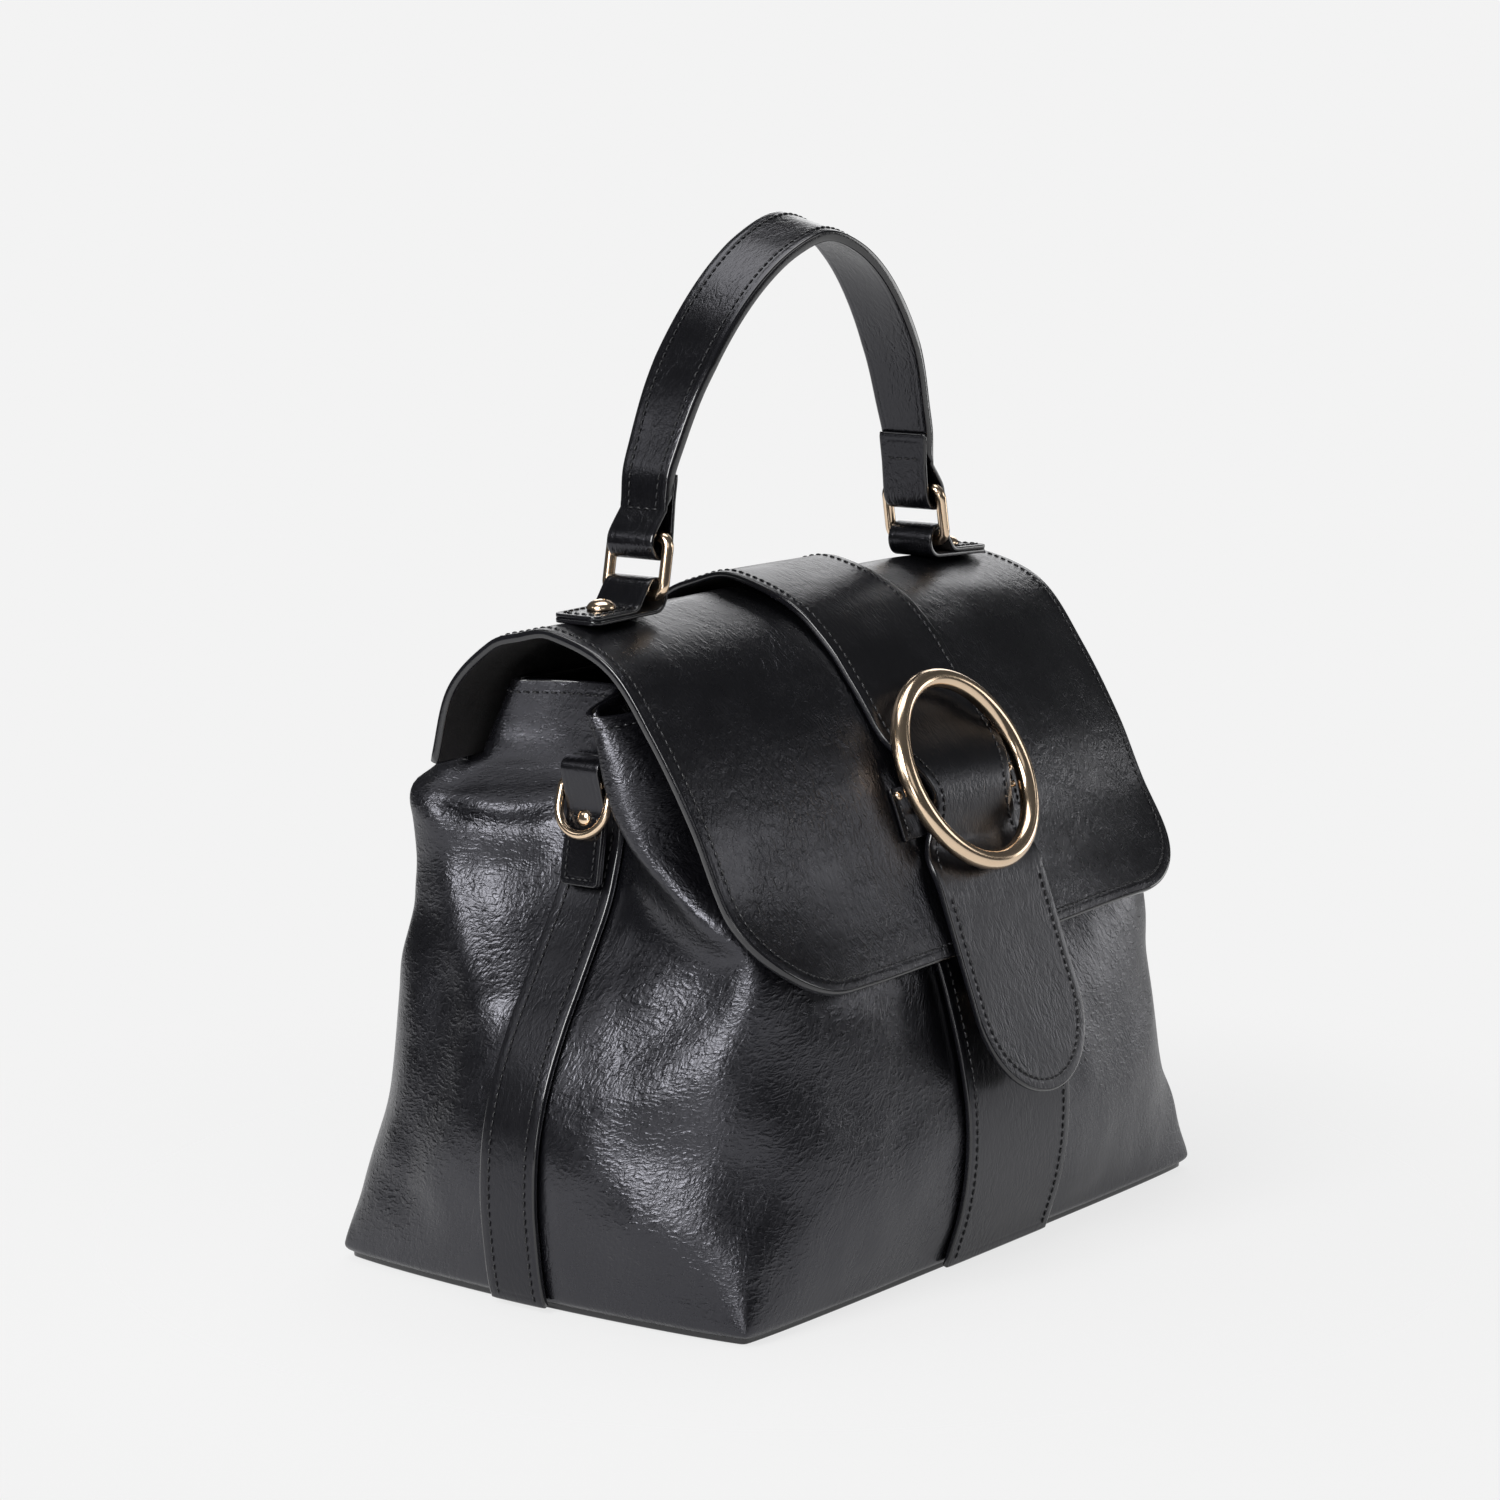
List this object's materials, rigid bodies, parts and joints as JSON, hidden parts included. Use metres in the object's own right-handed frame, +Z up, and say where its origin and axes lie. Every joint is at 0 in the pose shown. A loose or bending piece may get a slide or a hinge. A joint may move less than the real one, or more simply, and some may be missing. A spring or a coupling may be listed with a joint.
{
  "type": "handbag",
  "caption": "Top-handle handbag: soft leather body with folded gussets, hinged domed flap with a strap, round buckle and snap tongue, side D-rings, and a stiff handle on rings.",
  "frame": {"origin": "centre of the base panel's underside, on the ground", "axes": "+Z up, +X to the right-hand side seen from the front, the front with the buckle faces -Y"},
  "size_m": [0.3112, 0.2138, 0.36],
  "materials": {
    "body_front_finish": "glossy crinkled black faux leather with tonal stitching",
    "body_back_finish": "glossy crinkled black faux leather with tonal stitching",
    "base_panel_finish": "glossy crinkled black faux leather with tonal stitching",
    "base_board_finish": "raw fibreboard stiffener",
    "lining_base_finish": "dark woven lining cloth",
    "lining_front_finish": "dark woven lining cloth",
    "lining_back_finish": "dark woven lining cloth",
    "mouth_facing_front_finish": "glossy crinkled black faux leather with tonal stitching",
    "mouth_facing_back_finish": "glossy crinkled black faux leather with tonal stitching",
    "inner_pocket_finish": "dark woven lining cloth",
    "front_band_finish": "glossy crinkled black faux leather with tonal stitching",
    "snap_socket_finish": "polished pale gold plating",
    "side_strap_left_finish": "glossy crinkled black faux leather with tonal stitching",
    "side_strap_right_finish": "glossy crinkled black faux leather with tonal stitching",
    "d_ring_tab_left_finish": "glossy crinkled black faux leather with tonal stitching",
    "d_ring_tab_right_finish": "glossy crinkled black faux leather with tonal stitching",
    "d_ring_rivet_left_finish": "polished pale gold plating",
    "d_ring_rivet_right_finish": "polished pale gold plating",
    "flap_outer_finish": "glossy crinkled black faux leather with tonal stitching",
    "flap_lining_finish": "dark woven lining cloth",
    "flap_strap_finish": "glossy crinkled black faux leather with tonal stitching",
    "ring_buckle_finish": "polished pale gold plating",
    "buckle_bar_finish": "polished pale gold plating",
    "buckle_keeper_finish": "glossy crinkled black faux leather with tonal stitching",
    "keeper_rivet_left_finish": "polished pale gold plating",
    "keeper_rivet_right_finish": "polished pale gold plating",
    "handle_tab_left_finish": "glossy crinkled black faux leather with tonal stitching",
    "handle_tab_right_finish": "glossy crinkled black faux leather with tonal stitching",
    "handle_tab_rivet_left_finish": "polished pale gold plating",
    "handle_tab_rivet_right_finish": "polished pale gold plating",
    "strap_tongue_finish": "glossy crinkled black faux leather with tonal stitching",
    "snap_stud_finish": "polished pale gold plating",
    "d_ring_left_finish": "polished pale gold plating",
    "d_ring_right_finish": "polished pale gold plating",
    "handle_ring_left_finish": "polished pale gold plating",
    "handle_ring_right_finish": "polished pale gold plating",
    "handle_strap_finish": "glossy crinkled black faux leather with tonal stitching",
    "handle_end_left_finish": "glossy crinkled black faux leather with tonal stitching",
    "handle_end_right_finish": "glossy crinkled black faux leather with tonal stitching"
  },
  "bodies": {
    "bag": {"body_front": "body_front_finish", "body_back": "body_back_finish", "base_panel": "base_panel_finish", "base_board": "base_board_finish", "lining_base": "lining_base_finish", "lining_front": "lining_front_finish", "lining_back": "lining_back_finish", "mouth_facing_front": "mouth_facing_front_finish", "mouth_facing_back": "mouth_facing_back_finish", "inner_pocket": "inner_pocket_finish", "front_band": "front_band_finish", "snap_socket": "snap_socket_finish", "side_strap_left": "side_strap_left_finish", "side_strap_right": "side_strap_right_finish", "d_ring_tab_left": "d_ring_tab_left_finish", "d_ring_tab_right": "d_ring_tab_right_finish", "d_ring_rivet_left": "d_ring_rivet_left_finish", "d_ring_rivet_right": "d_ring_rivet_right_finish"},
    "flap": {"flap_outer": "flap_outer_finish", "flap_lining": "flap_lining_finish", "flap_strap": "flap_strap_finish", "ring_buckle": "ring_buckle_finish", "buckle_bar": "buckle_bar_finish", "buckle_keeper": "buckle_keeper_finish", "keeper_rivet_left": "keeper_rivet_left_finish", "keeper_rivet_right": "keeper_rivet_right_finish", "handle_tab_left": "handle_tab_left_finish", "handle_tab_right": "handle_tab_right_finish", "handle_tab_rivet_left": "handle_tab_rivet_left_finish", "handle_tab_rivet_right": "handle_tab_rivet_right_finish"},
    "tongue": {"strap_tongue": "strap_tongue_finish", "snap_stud": "snap_stud_finish"},
    "d_ring_left": {"d_ring_left": "d_ring_left_finish"},
    "d_ring_right": {"d_ring_right": "d_ring_right_finish"},
    "ring_left": {"handle_ring_left": "handle_ring_left_finish"},
    "ring_right": {"handle_ring_right": "handle_ring_right_finish"},
    "handle": {"handle_strap": "handle_strap_finish", "handle_end_left": "handle_end_left_finish", "handle_end_right": "handle_end_right_finish"}
  },
  "joints": [
    {"name": "flap_hinge", "type": "hinge", "parent": "bag", "child": "flap", "pos_m": [0, 0.05508, 0.17901], "axis": [-1, 0, 0], "range_deg": [0, 100]},
    {"name": "tongue_fold", "type": "hinge", "parent": "flap", "child": "tongue", "pos_m": [0, -0.08967, 0.13587], "axis": [-1, 0, 0], "range_deg": [0, 60]},
    {"name": "d_ring_left_pivot", "type": "hinge", "parent": "bag", "child": "d_ring_left", "pos_m": [-0.11095, 0, 0.17313], "axis": [0, 1, 0], "range_deg": [0, 120]},
    {"name": "d_ring_right_pivot", "type": "hinge", "parent": "bag", "child": "d_ring_right", "pos_m": [0.11095, 0, 0.17313], "axis": [0, -1, 0], "range_deg": [0, 120]},
    {"name": "handle_ring_left_pivot", "type": "hinge", "parent": "flap", "child": "ring_left", "pos_m": [-0.085, 0, 0.23428], "axis": [0, 1, 0], "range_deg": [-30, 30]},
    {"name": "handle_ring_right_pivot", "type": "hinge", "parent": "flap", "child": "ring_right", "pos_m": [0.085, 0, 0.23732], "axis": [0, 1, 0], "range_deg": [-30, 30]},
    {"name": "handle_pivot", "type": "hinge", "parent": "ring_left", "child": "handle", "pos_m": [-0.08118, 0, 0.25391], "axis": [0, 1, 0], "range_deg": [-32, 32]}
  ],
  "couplings": [
    {"joint": "handle_ring_right_pivot", "follows": "handle_ring_left_pivot", "ratio": 1},
    {"joint": "handle_pivot", "follows": "handle_ring_left_pivot", "ratio": -1.046}
  ]
}
